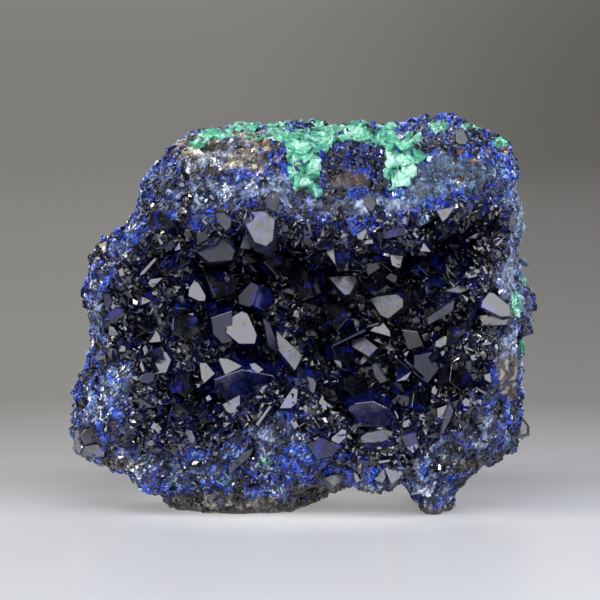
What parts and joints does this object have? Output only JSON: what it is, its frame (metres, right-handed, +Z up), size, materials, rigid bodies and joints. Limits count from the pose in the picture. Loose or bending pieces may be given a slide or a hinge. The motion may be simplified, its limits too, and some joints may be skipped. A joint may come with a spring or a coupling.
{
  "type": "azurite specimen",
  "caption": "Rough mineral lump of dark blue azurite on brown matrix, with an open crystal-lined hollow in its front and green malachite crusts on its top and side.",
  "frame": {"origin": "middle of the box of the lump's underside, on the surface that it rests on", "axes": "+Z up, -Y out of the hollow's mouth, +X to the right as the hollow is faced"},
  "size_m": [0.095, 0.0536, 0.0801],
  "materials": {
    "azurite_rock": "drusy azurite crystals over brown iron-stained matrix, sparkling",
    "vug_crystals": "glassy near-black blue azurite crystals",
    "malachite": "matt fibrous pale green malachite crust"
  },
  "bodies": {
    "root": {"azurite_rock": "azurite_rock", "vug_crystals": "vug_crystals", "malachite_top": "malachite", "malachite_upper_side": "malachite", "malachite_lower_side": "malachite"}
  },
  "joints": []
}
